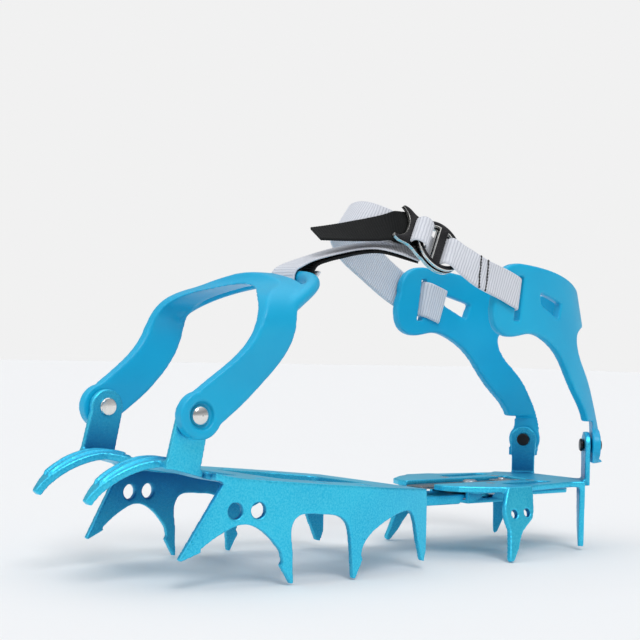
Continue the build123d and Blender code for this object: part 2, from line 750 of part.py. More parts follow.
def heel_cradle():
    """Cup cut to its side view, with eyes at the rear posts and slots for the webbing."""
    outer, inner = cup_solid(0.0), cup_solid(CRADLE_T)
    eye_width = EYE_OUT_1 - EYE_OUT_0
    with BuildPart() as cradle:
        add(outer)
        add(inner, mode=Mode.SUBTRACT)
        # side view: (y, height)
        with BuildSketch(Plane.YZ.offset(-REACH)):
            with BuildLine():
                curve(
                    (131.0, 133.0), (133.4, 142.0), (140.5, 146.8), (152.8, 147.4),
                    (169.4, 145.4), (189.1, 141.2), (204, 136.6), (245, 130),
                )
                straight((245, 130), (245, 117))
                curve(
                    (245, 117), (218, 117.2), (205, 116.0), (197.5, 111.5), (198.4, 104.5),
                    (209.3, 90.4), (217.5, 76.7), (222.5, 64), (224.5, 52),
                )
                straight((224.5, 52), (224.5, 44.6), (206.6, 44.6), (207.8, 58.5))
                curve(
                    (207.8, 58.5), (205.0, 71.2), (196.2, 81), (188.1, 90.5), (180.5, 100.2),
                    (170.4, 107.8), (155.2, 112.4), (138.6, 110.8), (131.0, 115.0),
                    (128.6, 123.0), (131.0, 133.0),
                )
            make_face()
        extrude(amount=2 * REACH, mode=Mode.INTERSECT)
        # pockets round the rear posts
        for side in (1, -1):
            with BuildSketch(pivot_plane(side, EYE_OUT_0 - 0.1, -1)):
                with Locations((-1, 0)):
                    Rectangle(28, 40)
            extrude(amount=20, mode=Mode.SUBTRACT)
        # flat eyes outside the posts: disc, bore and a flat outer face
        for side in (1, -1):
            eye_plane = pivot_plane(side, EYE_OUT_0, 1)
            with BuildSketch(eye_plane):
                Circle(8.6)
            extrude(amount=eye_width)
            with BuildSketch(eye_plane.offset(-4)):
                Circle(HEEL_RIVET_R + SNUG)
            extrude(amount=16, mode=Mode.SUBTRACT)
            with BuildSketch(eye_plane.offset(eye_width)):
                Circle(8.7)
            extrude(amount=8, mode=Mode.SUBTRACT)
        # slots for the webbing, and four-sided windows behind them
        with BuildSketch(Plane.YZ.offset(-REACH)):
            with BuildLine():
                straight(
                    (142.7, 118.6), (146.7, 118.6), (149.7, 141.2), (145.7, 141.2), close=True
                )
            make_face()
            with BuildLine():
                straight(
                    (162.0, 133.6), (179.6, 128.6), (176.8, 120.6), (162.4, 127.6), close=True
                )
            make_face()
        extrude(amount=2 * REACH, mode=Mode.SUBTRACT)
    return cradle.part


def corner_pair(profile):
    """Revolve (out, radius) points about the near rear rivet line, and mirror the result."""
    outward = (OUT_X, OUT_Y, 0)
    origin = (*corner(0, POST_ALONG), frame_z(CRADLE_H))
    return mirrored_pair(revolved(profile, origin, outward, outward))


def heel_rivets():
    return corner_pair([
        (181.2, 0), (181.2, 2.9), (181.6, 3.4), (182.5, 3.4), (182.5, HEEL_RIVET_R),
        (191.3, HEEL_RIVET_R), (191.3, 3.4), (192.2, 3.1), (192.8, 2.3), (192.8, 0),
    ])


def heel_spacers():
    """Washers between the rear posts and the cradle eyes."""
    return corner_pair([(186.4, 1.95), (186.85, 1.95), (186.85, 3.4), (186.4, 3.4)])


# ================================================================= webbing and buckle
def strap(stations, width=WEB_WIDTH, thickness=WEB_T):
    """Flat webbing lofted through (centre x, y, height), (direction), (width direction)."""
    with BuildPart() as webbing:
        for (x, y, height), direction, width_dir in stations:
            forward = Vector(*direction).normalized()
            sideways = Vector(*width_dir)
            sideways = (sideways - forward * sideways.dot(forward)).normalized()
            with BuildSketch(Plane(origin=(x, y, frame_z(height)), x_dir=sideways, z_dir=forward)):
                Rectangle(width, thickness)
        loft()
    return webbing.part


# Buckle frame: ALONG runs from the cradle to the instep, ACROSS is across the webbing and
# OUTWARD faces away from the boot. RING_MID is (x, y, height).
RING_MID = Vector(30.75, 97.3, 153.0)
web_run = (RING_MID - Vector(40.4, 146, 130)).normalized()
web_across = Vector(-7.0, 9.3, 14.5)
web_across = (web_across - web_run * web_across.dot(web_run)).normalized()
TURN = math.radians(8.6)      # turn of the buckle against the webbing
OUTWARD = web_across.cross(web_run).normalized()
ALONG = web_run * math.cos(TURN) + web_across * math.sin(TURN)
ACROSS = web_across * math.cos(TURN) - web_run * math.sin(TURN)


def buckle_spot(along, outward, across=0):
    """(x, y, height) of a point of the buckle frame."""
    return RING_MID + ALONG * along + OUTWARD * outward + ACROSS * across


def buckle_plane(outward, across, z_dir):
    x, y, height = buckle_spot(0, outward, across)
    return Plane(origin=(x, y, frame_z(height)), x_dir=ALONG, z_dir=z_dir)


def band(path, thickness):
    """Outline of a strip along an open path, with mitred corners."""
    sides = []
    for sign in (1, -1):
        row = []
        for i, (x, y) in enumerate(path):
            steps = []
            if i > 0:
                steps.append((x - path[i - 1][0], y - path[i - 1][1]))
            if i < len(path) - 1:
                steps.append((path[i + 1][0] - x, path[i + 1][1] - y))
            normals = [(-b / math.hypot(a, b), a / math.hypot(a, b)) for a, b in steps]
            normal_x, normal_y = sum(n[0] for n in normals), sum(n[1] for n in normals)
            reach = sign * thickness / 2
            if len(normals) == 2:
                reach = sign * thickness / (normal_x ** 2 + normal_y ** 2)
            row.append((x + normal_x * reach, y + normal_y * reach))
        sides.append(row)
    return sides[0] + sides[1][::-1]


def buckle_webbing():
    """Webbing from the near wing of the cradle, with its end threaded through the rings."""
    lead = strap([
        ((40.45, 143.4, 131.6), (0, -0.92, 0.38), (0, 0.2, 0.98)),
        ((40.42, 134.0, 136.0), (-0.01, -0.89, 0.44), (0, 0.26, 0.96)),
        ((40.0, 126.0, 139.8), (-0.1, -0.88, 0.46), (-0.06, 0.34, 0.93)),
        (buckle_spot(-16.0, 3.9), ALONG, ACROSS),
    ], 17.4, LOOP_T)
    # over the rear rims, under both cross bars and over the front rims: (along, outward)
    loop_path = [
        (-17.5, 3.9), (-3.9, 3.9), (-3.9, -4.4), (5.2, -4.4), (5.2, 3.9), (14.7, 3.9), (14.7, 0.9),
    ]
    with BuildPart() as webbing:
        add(lead)
        with BuildSketch(buckle_plane(0, -LOOP_WIDTH / 2, ACROSS)):
            with BuildLine():
                Polyline(*band(loop_path, LOOP_T), close=True)
            make_face()
        extrude(amount=LOOP_WIDTH)
    return webbing.part


def open_ring():
    """Cut the hole of a ring in the current sketch and lay the cross bar over it."""
    Circle(RING_HOLE_R, mode=Mode.SUBTRACT)
    Rectangle(2 * CROSS_BAR_HALF, 2 * RING_HOLE_R + 1.5)


def ring_outer():
    with BuildPart() as ring:
        with BuildSketch(buckle_plane(OUTER_RING_V, 0, OUTWARD)):
            Circle(RING_R)
            open_ring()
        extrude(amount=RING_T)
    return ring.part


def ring_inner():
    """Ring whose front end has a concave edge between two horns."""
    flank = [(6.0, 12.2), (10.6, 11.2), (14.0, 10.1), (17.0, 10.3), (20.0, 11.1), (22.4, 11.0)]
    horn = [(22.4, 11.0), (23.8, 10.5), (24.4, 9.5)]
    front_edge = [
        (24.4, 9.5), (21.2, 8.2), (18.9, 5.2), (18.0, 0), (18.9, -5.2), (21.2, -8.2), (24.4, -9.5),
    ]
    with BuildPart() as ring:
        with BuildSketch(buckle_plane(INNER_RING_V, 0, OUTWARD)):
            Circle(RING_R)
            with BuildLine():
                Spline(*flank)
                Spline(*horn)
                Spline(*front_edge)
                for points in (horn, flank):
                    Spline(*[(x, -y) for x, y in reversed(points)])
                Line((6.0, -12.2), (6.0, 12.2))
            make_face()
            open_ring()
        extrude(amount=RING_T)
    return ring.part


def instep_strap():
    """Webbing from the far wing of the cradle over the instep to the rings."""
    return strap([
        ((-40.45, 143.4, 130.9), (0.0, -0.9, 0.43), (0, 0.16, 0.98)),
        ((-40.42, 134.0, 135.6), (0.01, -0.88, 0.46), (0, 0.3, 0.95)),
        ((-40.1, 126.0, 139.8), (0.1, -0.87, 0.46), (0.06, 0.36, 0.93)),
        ((-31.5, 94.0, 156.0), (0.42, -0.8, 0.36), (0.2, 0.5, 0.84)),
        ((-15.0, 72.5, 166.0), (0.82, -0.52, 0.2), (0.05, 0.57, 0.82)),
        ((3.0, 68.5, 167.3), (0.98, 0.12, -0.04), (-0.03, 0.575, 0.817)),
        ((5.4, 69.0, 167.0), (0.98, 0.18, -0.08), (-0.05, 0.58, 0.81)),
    ])


def toe_strap():
    """Upper run of the toe webbing, over the rear bar of the toe ring."""
    return strap([
        ((0, 22.6, 129.0), (0, 0.05, 1.0), (1, 0, 0)),
        ((0, 23.4, 136.0), (0, 0.3, 1.0), (1, 0, 0)),
        ((0.3, 28.2, 141.6), (0.03, 1.0, 0.55), (1, 0, 0)),
        ((1.5, 38.0, 144.6), (0.15, 1.0, 0.3), (1, -0.1, 0)),
        ((5.5, 52.0, 149.0), (0.35, 1.0, 0.32), (1, -0.25, -0.08)),
        ((9.5, 62.0, 151.7), (0.4, 1.0, 0.3), (0.97, -0.3, -0.12)),
    ], 19.0)


def toe_strap_return():
    """Lower run of the toe webbing, coming back from behind the ring bar."""
    return strap([
        ((0, 38.6, 135.2), (0, 0.25, 1.0), (1, 0, 0)),
        ((0.8, 41.0, 140.4), (0.05, 0.8, 0.7), (1, 0, 0)),
        ((4.5, 50.0, 145.3), (0.3, 1.0, 0.38), (1, -0.2, -0.04)),
        ((9.5, 61.0, 149.0), (0.4, 1.0, 0.3), (0.97, -0.3, -0.12)),
    ], 19.0)


def strap_tail():
    """Free tail with a cut end, coming out from under the front end of the inner ring."""
    width_dir = ALONG * 0.67 + ACROSS * 0.74
    return strap([
        (buckle_spot(16.0, -3.9, 3.6), ALONG * 0.74 - ACROSS * 0.67, width_dir),
        (buckle_spot(21.5, -4.0, -1.2), ALONG * 0.74 - ACROSS * 0.65 - OUTWARD * 0.15, width_dir),
        ((20.2, 73.2, 161.6), (-0.4, -0.9, -0.2), (-0.7, 0.1, 0.68)),
        ((17.7, 67.0, 160.4), (-0.36, -0.92, -0.18), (-0.76, 0.16, 0.63)),
        ((12.6, 54.6, 158.6), (-0.36, -0.92, -0.14), (-0.82, 0.25, 0.5)),
        ((7.0, 40.6, 157.1), (-0.36, -0.93, -0.1), (-0.89, 0.29, 0.35)),
    ], 18.0, 1.6)


# ================================================================= output
# each function is named after the piece it builds
PIECES = [
    front_frame, toe_bail, toe_rivets, toe_washers, hinge_pin, link_bar, heel_frame, bar_keeper,
    keeper_rivets, latch_leaf, latch_stud, latch_clamp, clamp_rivets, heel_cradle, heel_rivets,
    heel_spacers, buckle_webbing, ring_outer, ring_inner, instep_strap, toe_strap,
    toe_strap_return, strap_tail,
]

os.makedirs("parts", exist_ok=True)
for build in PIECES:
    part = build()
    part.label = build.__name__
    export_step(part, f"parts/{build.__name__}.step")
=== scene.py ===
"""A strap binding: blue sheet front and heel frames, a moulded toe bail and heel cradle,
steel rings and rivets, and woven straps that meet at a two-ring buckle.

x runs across, y from toe to heel and z up. The origin plane lies SEAT above the ground.
Positions are written as x, y and height above the ground, in mm; to_frame() turns them into
the product's frame in metres. Material distances are in metres.
"""
import bpy
import json
import math
import numpy as np
from functools import cached_property
from types import SimpleNamespace
from mathutils import Vector, Matrix

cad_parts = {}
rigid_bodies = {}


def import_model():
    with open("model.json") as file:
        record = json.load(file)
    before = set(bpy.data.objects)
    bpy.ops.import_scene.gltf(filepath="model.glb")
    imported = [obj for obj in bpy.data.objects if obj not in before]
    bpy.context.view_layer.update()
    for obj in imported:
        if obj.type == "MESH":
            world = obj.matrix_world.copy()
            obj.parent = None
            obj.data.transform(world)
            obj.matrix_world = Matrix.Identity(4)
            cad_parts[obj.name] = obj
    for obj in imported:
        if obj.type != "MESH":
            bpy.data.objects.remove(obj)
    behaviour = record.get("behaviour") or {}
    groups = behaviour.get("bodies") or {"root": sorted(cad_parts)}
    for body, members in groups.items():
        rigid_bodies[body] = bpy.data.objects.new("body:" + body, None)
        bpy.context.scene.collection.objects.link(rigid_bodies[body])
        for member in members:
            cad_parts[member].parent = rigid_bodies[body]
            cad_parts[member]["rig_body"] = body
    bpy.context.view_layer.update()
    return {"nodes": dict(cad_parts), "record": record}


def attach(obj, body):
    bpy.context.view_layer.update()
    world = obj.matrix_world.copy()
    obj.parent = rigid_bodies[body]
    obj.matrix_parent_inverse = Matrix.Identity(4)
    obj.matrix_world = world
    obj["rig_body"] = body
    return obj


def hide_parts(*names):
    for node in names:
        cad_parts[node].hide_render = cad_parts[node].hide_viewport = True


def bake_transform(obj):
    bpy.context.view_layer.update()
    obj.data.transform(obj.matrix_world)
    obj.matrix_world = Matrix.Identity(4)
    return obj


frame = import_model()
NODES = frame["nodes"]
SEAT = 44.3                      # mm from the ground plane up to the origin plane


def to_frame(points):
    """Points in mm above the ground plane -> product frame, metres."""
    return (np.asarray(points, float) - (0, 0, SEAT)) / 1000


# ------------------------------------------------------------------ shader graph
class Graph:
    """A shader node tree under construction."""

    def __init__(self, tree):
        self.tree = tree
        tree.nodes.clear()

    @cached_property
    def coords(self):
        return self.node("TexCoord").outputs

    def feed(self, node, inputs):
        """Link or set each input; a colour gets an alpha of 1."""
        for key, value in inputs.items():
            socket = node.inputs[key]
            if isinstance(value, bpy.types.NodeSocket):
                self.tree.links.new(value, socket)
            elif socket.type == "RGBA":
                socket.default_value = (*value, 1)
            else:
                socket.default_value = value

    def node(self, kind, inputs=None, **settings):
        made = self.tree.nodes.new("ShaderNode" + kind)
        for key, value in settings.items():
            setattr(made, key, value)
        self.feed(made, inputs or {})
        return made

    def noise(self, scale, detail=3.0, roughness=0.5, stretch=None):
        """Noise over object coordinates; stretch multiplies each axis first."""
        vector = self.coords["Object"]
        if stretch is not None:
            vector = self.node("Mapping", {"Scale": stretch, "Vector": vector}).outputs[0]
        inputs = {"Scale": scale, "Detail": detail, "Roughness": roughness, "Vector": vector}
        return self.node("TexNoise", inputs).outputs["Fac"]

    def ramp(self, value, stops):
        """stops: (position, colour) in rising order."""
        made = self.node("ValToRGB", {0: value})
        elements = made.color_ramp.elements
        for element, (position, color) in zip(elements, (stops[0], stops[-1])):
            element.position = position
            element.color = (*color, 1)
        for position, color in stops[1:-1]:
            elements.new(position).color = (*color, 1)
        return made.outputs[0]

    def remap(self, value, span, to=(0.0, 1.0)):
        return self.node("MapRange", {
            "From Min": span[0], "From Max": span[1],
            "To Min": to[0], "To Max": to[1], "Value": value}).outputs[0]

    def mix(self, color, toward, amount):
        inputs = {0: amount, 6: color, 7: toward}
        return self.node("Mix", inputs, data_type="RGBA").outputs[2]

    def math(self, operation, *values):
        return self.node("Math", dict(enumerate(values)), operation=operation).outputs[0]

    def dot(self, first, second):
        inputs = {0: first, 1: second}
        return self.node("VectorMath", inputs, operation="DOT_PRODUCT").outputs["Value"]

    def bump(self, height, strength, distance, normal=None):
        inputs = {"Strength": strength, "Distance": distance, "Height": height}
        if normal is not None:
            inputs["Normal"] = normal
        return self.node("Bump", inputs).outputs[0]

    def edges(self, radius, low=0.002, high=0.06):
        """A mask that is 1 near sharp edges, where a rounded normal departs from the true
        one by low to high, and that rounded normal."""
        rounded = self.node("Bevel", {"Radius": radius}, samples=6).outputs[0]
        likeness = self.dot(rounded, self.node("NewGeometry").outputs["Normal"])
        return self.remap(likeness, span=(1 - low, 1 - high)), rounded


def new_material(name):
    """A graph whose .material is the material and .shader its Principled node."""
    material = bpy.data.materials.new(name)
    material.use_nodes = True
    graph = Graph(material.node_tree)
    graph.material = material
    output = graph.node("OutputMaterial")
    graph.shader = graph.node("BsdfPrincipled")
    graph.feed(output, {0: graph.shader.outputs[0]})
    return graph


def tinted(color, gain, lift=0.0):
    return tuple(min(1.0, channel * gain + lift) for channel in color)


# ------------------------------------------------------------------ materials
def anodised():
    """Blue anodised sheet: grainy and paler on scuffs; paler on edges, partly edge wear and
    partly a painted highlight; painted shade darkens the recesses.
    """
    graph = new_material("anodised_blue_sheet")
    broad = graph.noise(scale=22, detail=3)
    grain = graph.noise(scale=1250, detail=2, roughness=0.6)
    speck = graph.noise(scale=3000, detail=1)
    color = graph.ramp(broad, [
        (0.3, (0.016, 0.50, 0.80)), (0.55, (0.026, 0.58, 0.86)), (0.75, (0.045, 0.66, 0.92))])
    color = graph.mix(color, toward=(0.13, 0.80, 1.0),
                      amount=graph.remap(grain, span=(0.35, 0.7), to=(0.0, 0.6)))
    # paler cyan near sharp edges: partly edge wear, partly a painted edge highlight
    edge, rounded = graph.edges(radius=0.0006)
    color = graph.mix(color, toward=(0.20, 0.74, 0.94),
                      amount=graph.remap(edge, span=(0, 1), to=(0, 0.55)))
    scuffs = graph.noise(scale=60, detail=6, roughness=0.7, stretch=(1, 0.12, 2.2))
    color = graph.mix(color, toward=(0.16, 0.60, 0.82),
                      amount=graph.remap(scuffs, span=(0.66, 0.74), to=(0.0, 0.35)))
    # painted shade: where ambient occlusion finds nearby geometry the colour is pulled toward
    # deep blue
    openness = graph.node("AmbientOcclusion", {"Distance": 0.11}, samples=6, only_local=True)
    shade = graph.remap(openness.outputs["AO"], span=(0.55, 0.92), to=(0.95, 0.0))
    color = graph.mix(color, toward=(0.001, 0.105, 0.33), amount=shade)
    roughness = graph.math("ADD", graph.remap(grain, span=(0.3, 0.7), to=(0.30, 0.46)),
                           graph.remap(broad, span=(0.3, 0.7), to=(-0.03, 0.05)))
    normal = graph.bump(grain, strength=0.4, distance=0.00016, normal=rounded)
    normal = graph.bump(speck, strength=0.2, distance=0.00008, normal=normal)
    graph.feed(graph.shader, {"Base Color": color, "Metallic": 0.72,
                              "Roughness": roughness, "Normal": normal})
    return graph.material


def moulded():
    """Blue moulded plastic with faint flow marks and a painted highlight along its edges."""
    graph = new_material("moulded_blue_plastic")
    broad = graph.noise(scale=30, detail=2)
    grain = graph.noise(scale=2600, detail=2)
    flow = graph.noise(scale=90, detail=4, roughness=0.6, stretch=(1, 0.4, 1))
    color = graph.ramp(broad, [(0.3, (0.002, 0.385, 0.665)), (0.7, (0.004, 0.435, 0.715))])
    color = graph.mix(color, toward=(0.012, 0.49, 0.76),
                      amount=graph.remap(flow, span=(0.55, 0.8), to=(0, 0.25)))
    # paler cyan near edges: a painted edge highlight
    edge, _ = graph.edges(radius=0.0009, low=0.004, high=0.12)
    color = graph.mix(color, toward=(0.13, 0.55, 0.82),
                      amount=graph.remap(edge, span=(0, 1), to=(0, 0.30)))
    normal = graph.bump(grain, strength=0.10, distance=0.00006)
    normal = graph.bump(flow, strength=0.05, distance=0.0003, normal=normal)
    graph.feed(graph.shader, {
        "Base Color": color,
        "Roughness": graph.remap(grain, span=(0.3, 0.7), to=(0.34, 0.46)),
        "Specular IOR Level": 0.32,
        "Coat Weight": 0.10,
        "Coat Roughness": 0.24,
        "Subsurface Weight": 0.06,
        "Subsurface Radius": (0.3, 0.7, 1.0),
        "Subsurface Scale": 0.001,
        "Normal": normal})
    return graph.material


def steel(name, color, roughness, wear=(0.6, 0.6, 0.6), metallic=1.0, brushed=True):
    """Mottled hardware finish; wear is the colour of its rubbed edges."""
    graph = new_material(name)
    brushing = graph.noise(scale=700, detail=4, roughness=0.6,
                           stretch=(1, 1, 0.12) if brushed else None)
    mottle = graph.noise(scale=120, detail=3)
    grain = graph.noise(scale=3200, detail=1)
    surface = graph.mix(color, toward=tinted(color, gain=0.72),
                        amount=graph.remap(mottle, span=(0.35, 0.7), to=(0, 0.5)))
    edge, rounded = graph.edges(radius=0.0003)
    surface = graph.mix(surface, toward=wear,
                        amount=graph.remap(edge, span=(0, 1), to=(0, 0.35)))
    # the brushing varies the roughness, which never drops below 0.03
    gloss = graph.remap(brushing, span=(0.3, 0.7),
                        to=(max(roughness - 0.07, 0.03), roughness + 0.08))
    normal = graph.bump(brushing, strength=0.06, distance=0.00005, normal=rounded)
    normal = graph.bump(grain, strength=0.04, distance=0.00003, normal=normal)
    graph.feed(graph.shader, {"Base Color": surface, "Metallic": metallic,
                              "Roughness": gloss, "Normal": normal})
    return graph.material


def ring_steel(face_normal):
    """Stamped ring: faces square to face_normal painted near black as a painted reflection of
    dark surroundings, bright rims.
    """
    graph = new_material("ring_steel_painted_reflection")
    facing = graph.math("ABSOLUTE", graph.dot(graph.coords["Normal"], face_normal))
    face = graph.remap(facing, span=(0.72, 0.96))
    scratches = graph.noise(scale=420, detail=5, roughness=0.65, stretch=(1, 0.25, 1.6))
    mottle = graph.noise(scale=160, detail=3)
    # painted reflection: the faces' near-black colour stands in for dark surroundings mirrored in
    # the steel; the mottle is random tone and the pale scratches are wear
    painted_reflection_and_scratches = graph.mix((0.040, 0.039, 0.040), toward=(0.062, 0.060, 0.062),
                        amount=graph.remap(mottle, span=(0.35, 0.7)))
    painted_reflection_and_scratches = graph.mix(painted_reflection_and_scratches, toward=(0.22, 0.21, 0.20),
                        amount=graph.remap(scratches, span=(0.62, 0.72), to=(0, 0.5)))
    graph.feed(graph.shader, {
        "Base Color": graph.mix((0.80, 0.79, 0.75), toward=painted_reflection_and_scratches, amount=face),
        "Metallic": 1.0,
        "Roughness": graph.remap(scratches, span=(0.3, 0.7), to=(0.2, 0.34)),
        "Normal": graph.bump(scratches, strength=0.05, distance=0.00005)})
    return graph.material


def woven(name, light, dark, soiled, sheen, specular):
    """Woven tape. The ribs are in the mesh; the yarns are drawn here from its attributes:
    s_mm along the tape, t_mm across it and rib, which is high on the crests and also sets the
    painted shade in the rib troughs."""
    graph = new_material(name)
    along, across, rib = (graph.node("Attribute", attribute_name=attribute).outputs["Fac"]
                          for attribute in ("s_mm", "t_mm", "rib"))

    def wave(distance, pitch):
        return graph.math("SINE", graph.math("MULTIPLY_ADD", distance, 2 * math.pi / pitch, 0.0))

    weave = graph.math("MULTIPLY", wave(along, pitch=0.62), wave(across, pitch=0.74))
    fuzz = graph.noise(scale=2600, detail=3, roughness=0.7)
    soil = graph.noise(scale=120, detail=4, roughness=0.6)
    # painted shade: the rib troughs take the darker colour and the crests the lighter one
    color = graph.mix(dark, toward=light, amount=graph.remap(rib, span=(0.0, 0.75)))
    color = graph.mix(color, toward=dark,
                      amount=graph.remap(weave, span=(-1, 1), to=(0, 0.28)))
    color = graph.mix(color, toward=soiled,
                      amount=graph.remap(soil, span=(0.52, 0.8), to=(0, 0.3)))
    color = graph.mix(color, toward=tinted(light, gain=1.15, lift=0.01),
                      amount=graph.remap(fuzz, span=(0.45, 0.75), to=(0, 0.18)))
    normal = graph.bump(weave, strength=0.5, distance=0.00012)
    normal = graph.bump(fuzz, strength=0.25, distance=0.00008, normal=normal)
    graph.feed(graph.shader, {
        "Base Color": color,
        "Roughness": graph.remap(fuzz, span=(0.3, 0.7), to=(0.62, 0.86)),
        "Sheen Weight": sheen,
        "Sheen Roughness": 0.4,
        "Specular IOR Level": specular,
        "Normal": normal})
    return graph.material


def thread(name, color):
    """Twisted sewing thread."""
    graph = new_material(name)
    twist = graph.noise(scale=3000, detail=2, roughness=0.6, stretch=(1, 1, 2))
    surface = graph.mix(color, toward=tinted(color, gain=1.8, lift=0.02),
                        amount=graph.remap(twist, span=(0.35, 0.65), to=(0, 0.5)))
    graph.feed(graph.shader, {
        "Base Color": surface,
        "Roughness": 0.6,
        "Sheen Weight": 0.3,
        "Normal": graph.bump(twist, strength=0.4, distance=0.0001)})
    return graph.material


# material for each slot of the CAD record
MATERIALS = {
    "anodised_blue": anodised(),
    "plastic_blue": moulded(),
    "rivet_polished": steel("rivet_polished_steel", color=(0.80, 0.79, 0.76), roughness=0.14,
                            wear=(0.95, 0.95, 0.95), brushed=False),
    "pin_steel": steel("zinc_steel", color=(0.50, 0.51, 0.53), roughness=0.30),
    "spring_steel": steel("spring_steel_dark", color=(0.24, 0.25, 0.27), roughness=0.30,
                          wear=(0.7, 0.7, 0.7)),
    "ring_steel": ring_steel(face_normal=(0.906, 0.031, 0.423)),
    "rivet_black": steel("rivet_black_steel", color=(0.012, 0.012, 0.014), roughness=0.35,
                         wear=(0.2, 0.2, 0.2), metallic=0.6),
    "washer_black": steel("washer_black_nylon", color=(0.015, 0.015, 0.018), roughness=0.45,
                          wear=(0.1, 0.1, 0.1), metallic=0.0, brushed=False),
    # dark: the colour of the painted shade in the rib troughs and of the darker yarns in the
    # weave pattern, for both tapes
    "webbing_white": woven("webbing_white_polyester", light=(0.80, 0.82, 0.87),
                           dark=(0.40, 0.42, 0.48), soiled=(0.62, 0.63, 0.66),
                           sheen=0.3, specular=0.35),
    "webbing_black": woven("webbing_black_polyester", light=(0.0125, 0.0135, 0.0135),
                           dark=(0.003, 0.003, 0.0035), soiled=(0.02, 0.02, 0.019),
                           sheen=0.02, specular=0.12),
}
BLACK_THREAD = thread("thread_black", color=(0.010, 0.010, 0.012))

for subpart in frame["record"]["subparts"]:
    for material_slot in NODES[subpart["node"]].material_slots:
        material_slot.material = MATERIALS[subpart["material_slot"]]


# ------------------------------------------------------------------ mesh helpers
def add_to_scene(name, data):
    thing = bpy.data.objects.new(name, data)
    bpy.context.scene.collection.objects.link(thing)
    return thing


def add_mesh(name, vertices, faces, material, attributes=None, smooth=True):
    mesh = bpy.data.meshes.new(name)
    mesh.from_pydata([tuple(vertex) for vertex in vertices], [], faces)
    mesh.validate()
    mesh.update()
    for key, values in (attributes or {}).items():
        attribute = mesh.attributes.new(key, "FLOAT", "POINT")
        attribute.data.foreach_set("value", np.asarray(values, np.float32))
    if smooth:
        mesh.shade_smooth()
    mesh.materials.append(material)
    return add_to_scene(name, mesh)


def weld(piece):
    piece.modifiers.new("w", "WELD").merge_threshold = 0.00001


def add_smooth(piece, iterations, group=""):
    modifier = piece.modifiers.new("smooth", "SMOOTH")
    modifier.factor = 0.5
    modifier.iterations = iterations
    modifier.vertex_group = group


def apply_modifiers(piece):
    depsgraph = bpy.context.evaluated_depsgraph_get()
    mesh = bpy.data.meshes.new_from_object(piece.evaluated_get(depsgraph))
    old = piece.data
    piece.modifiers.clear()
    piece.data = mesh
    bpy.data.meshes.remove(old)


# ------------------------------------------------------------------ plastic and sheet metal
def beyond_bail_axis(points):
    """0 within 11.5 mm of the bail's axis along x, rising to 1 over the next 4 mm."""
    _, axis_y, axis_z = to_frame((0, -45.5, 73.3))
    distance = np.hypot(points[:, 1] - axis_y, points[:, 2] - axis_z)
    return (distance - 0.0115) / 0.004


def beyond_cradle_holes(points):
    """Low near the cradle's eyes, one each side, and reduced inside its upright slot."""
    eye_x, eye_y, eye_z = to_frame((26.2, 213.7, 54.0))
    x, y, z = points.T
    eye = np.sqrt((np.abs(x) - eye_x) ** 2 + (y - eye_y) ** 2 + (z - eye_z) ** 2)
    # the slot is an ellipse about y 146.2, height 130, with half axes of 4.5 and 13.5 mm
    slot = np.hypot((y * 1000 - 146.2) / 4.5, (z * 1000 + SEAT - 130) / 13.5) - 1
    return np.minimum((eye - 0.012) / 0.006, 0.25 + slot * 2)


def group_by_weight(piece, weight_of):
    """Vertex group with the weights rounded up to tenths."""
    group = piece.vertex_groups.new(name="away")
    points = np.empty(len(piece.data.vertices) * 3)
    piece.data.vertices.foreach_get("co", points)
    weights = np.clip(weight_of(points.reshape(-1, 3)), 0, 1)
    for level in range(1, 11):
        chosen = (weights > (level - 1) / 10) & (weights <= level / 10)
        indices = np.nonzero(chosen)[0].tolist()
        if indices:
            group.add(indices, level / 10, "REPLACE")
    return group.name


def rounded_copy(node, name, slot, voxel, passes, weight_of=None, extra_passes=0):
    """The CAD node's shape with soft edges; extra smoothing passes follow weight_of."""
    mesh = NODES[node].data.copy()
    mesh.materials.clear()
    mesh.materials.append(MATERIALS[slot])
    piece = add_to_scene(name, mesh)
    weld(piece)
    remesh = piece.modifiers.new("remesh", "REMESH")
    remesh.mode = "VOXEL"
    remesh.voxel_size = voxel
    remesh.use_smooth_shade = True
    add_smooth(piece, passes)
    apply_modifiers(piece)
    if weight_of:
        add_smooth(piece, extra_passes, group_by_weight(piece, weight_of))
        apply_modifiers(piece)
    piece.data.shade_smooth()
    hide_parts(node)
    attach(piece, NODES[node]["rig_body"])


def soften(node, width):
    """Bevel the sharp edges of a CAD node in place."""
    piece = NODES[node]
    weld(piece)
    bevel = piece.modifiers.new("b", "BEVEL")
    bevel.width = width
    bevel.segments = 2
    bevel.limit_method = "ANGLE"
    bevel.angle_limit = math.radians(32)
    bevel.use_clamp_overlap = True
    bevel.harden_normals = False
    piece.data.shade_smooth()


rounded_copy("toe_bail", "toe_bail_moulding", "plastic_blue", voxel=0.00055, passes=8,
             weight_of=beyond_bail_axis, extra_passes=26)
rounded_copy("heel_cradle", "heel_cradle_moulding", "plastic_blue", voxel=0.00055, passes=6,
             weight_of=beyond_cradle_holes, extra_passes=16)
rounded_copy("front_frame", "front_frame_sheet", "anodised_blue", voxel=0.0005, passes=4)
rounded_copy("heel_frame", "heel_frame_sheet", "anodised_blue", voxel=0.0005, passes=4)

# bevel width in metres: the nodes that get it
BEVELS = {
    0.00045: ("ring_outer", "ring_inner"),
    0.0004: ("link_bar",),
    0.0003: ("bar_keeper", "latch_clamp", "hinge_pin"),
    0.0002: ("latch_leaf", "latch_stud"),
    0.00015: ("toe_rivets", "toe_washers", "keeper_rivets", "clamp_rivets", "heel_rivets",
              "heel_spacers"),
}
for bevel_width, nodes in BEVELS.items():
    for node_name in nodes:
        soften(node_name, bevel_width)


# ------------------------------------------------------------------ curves and webbing
def arc_lengths(points):
    """Distance from the first point to each point along the polyline."""
    return np.concatenate([[0], np.cumsum(np.linalg.norm(np.diff(points, axis=0), axis=1))])


def between(at, start, end, first, second):
    """first at start, second at end, and straight between them."""
    return (end - at) / (end - start) * first + (at - start) / (end - start) * second


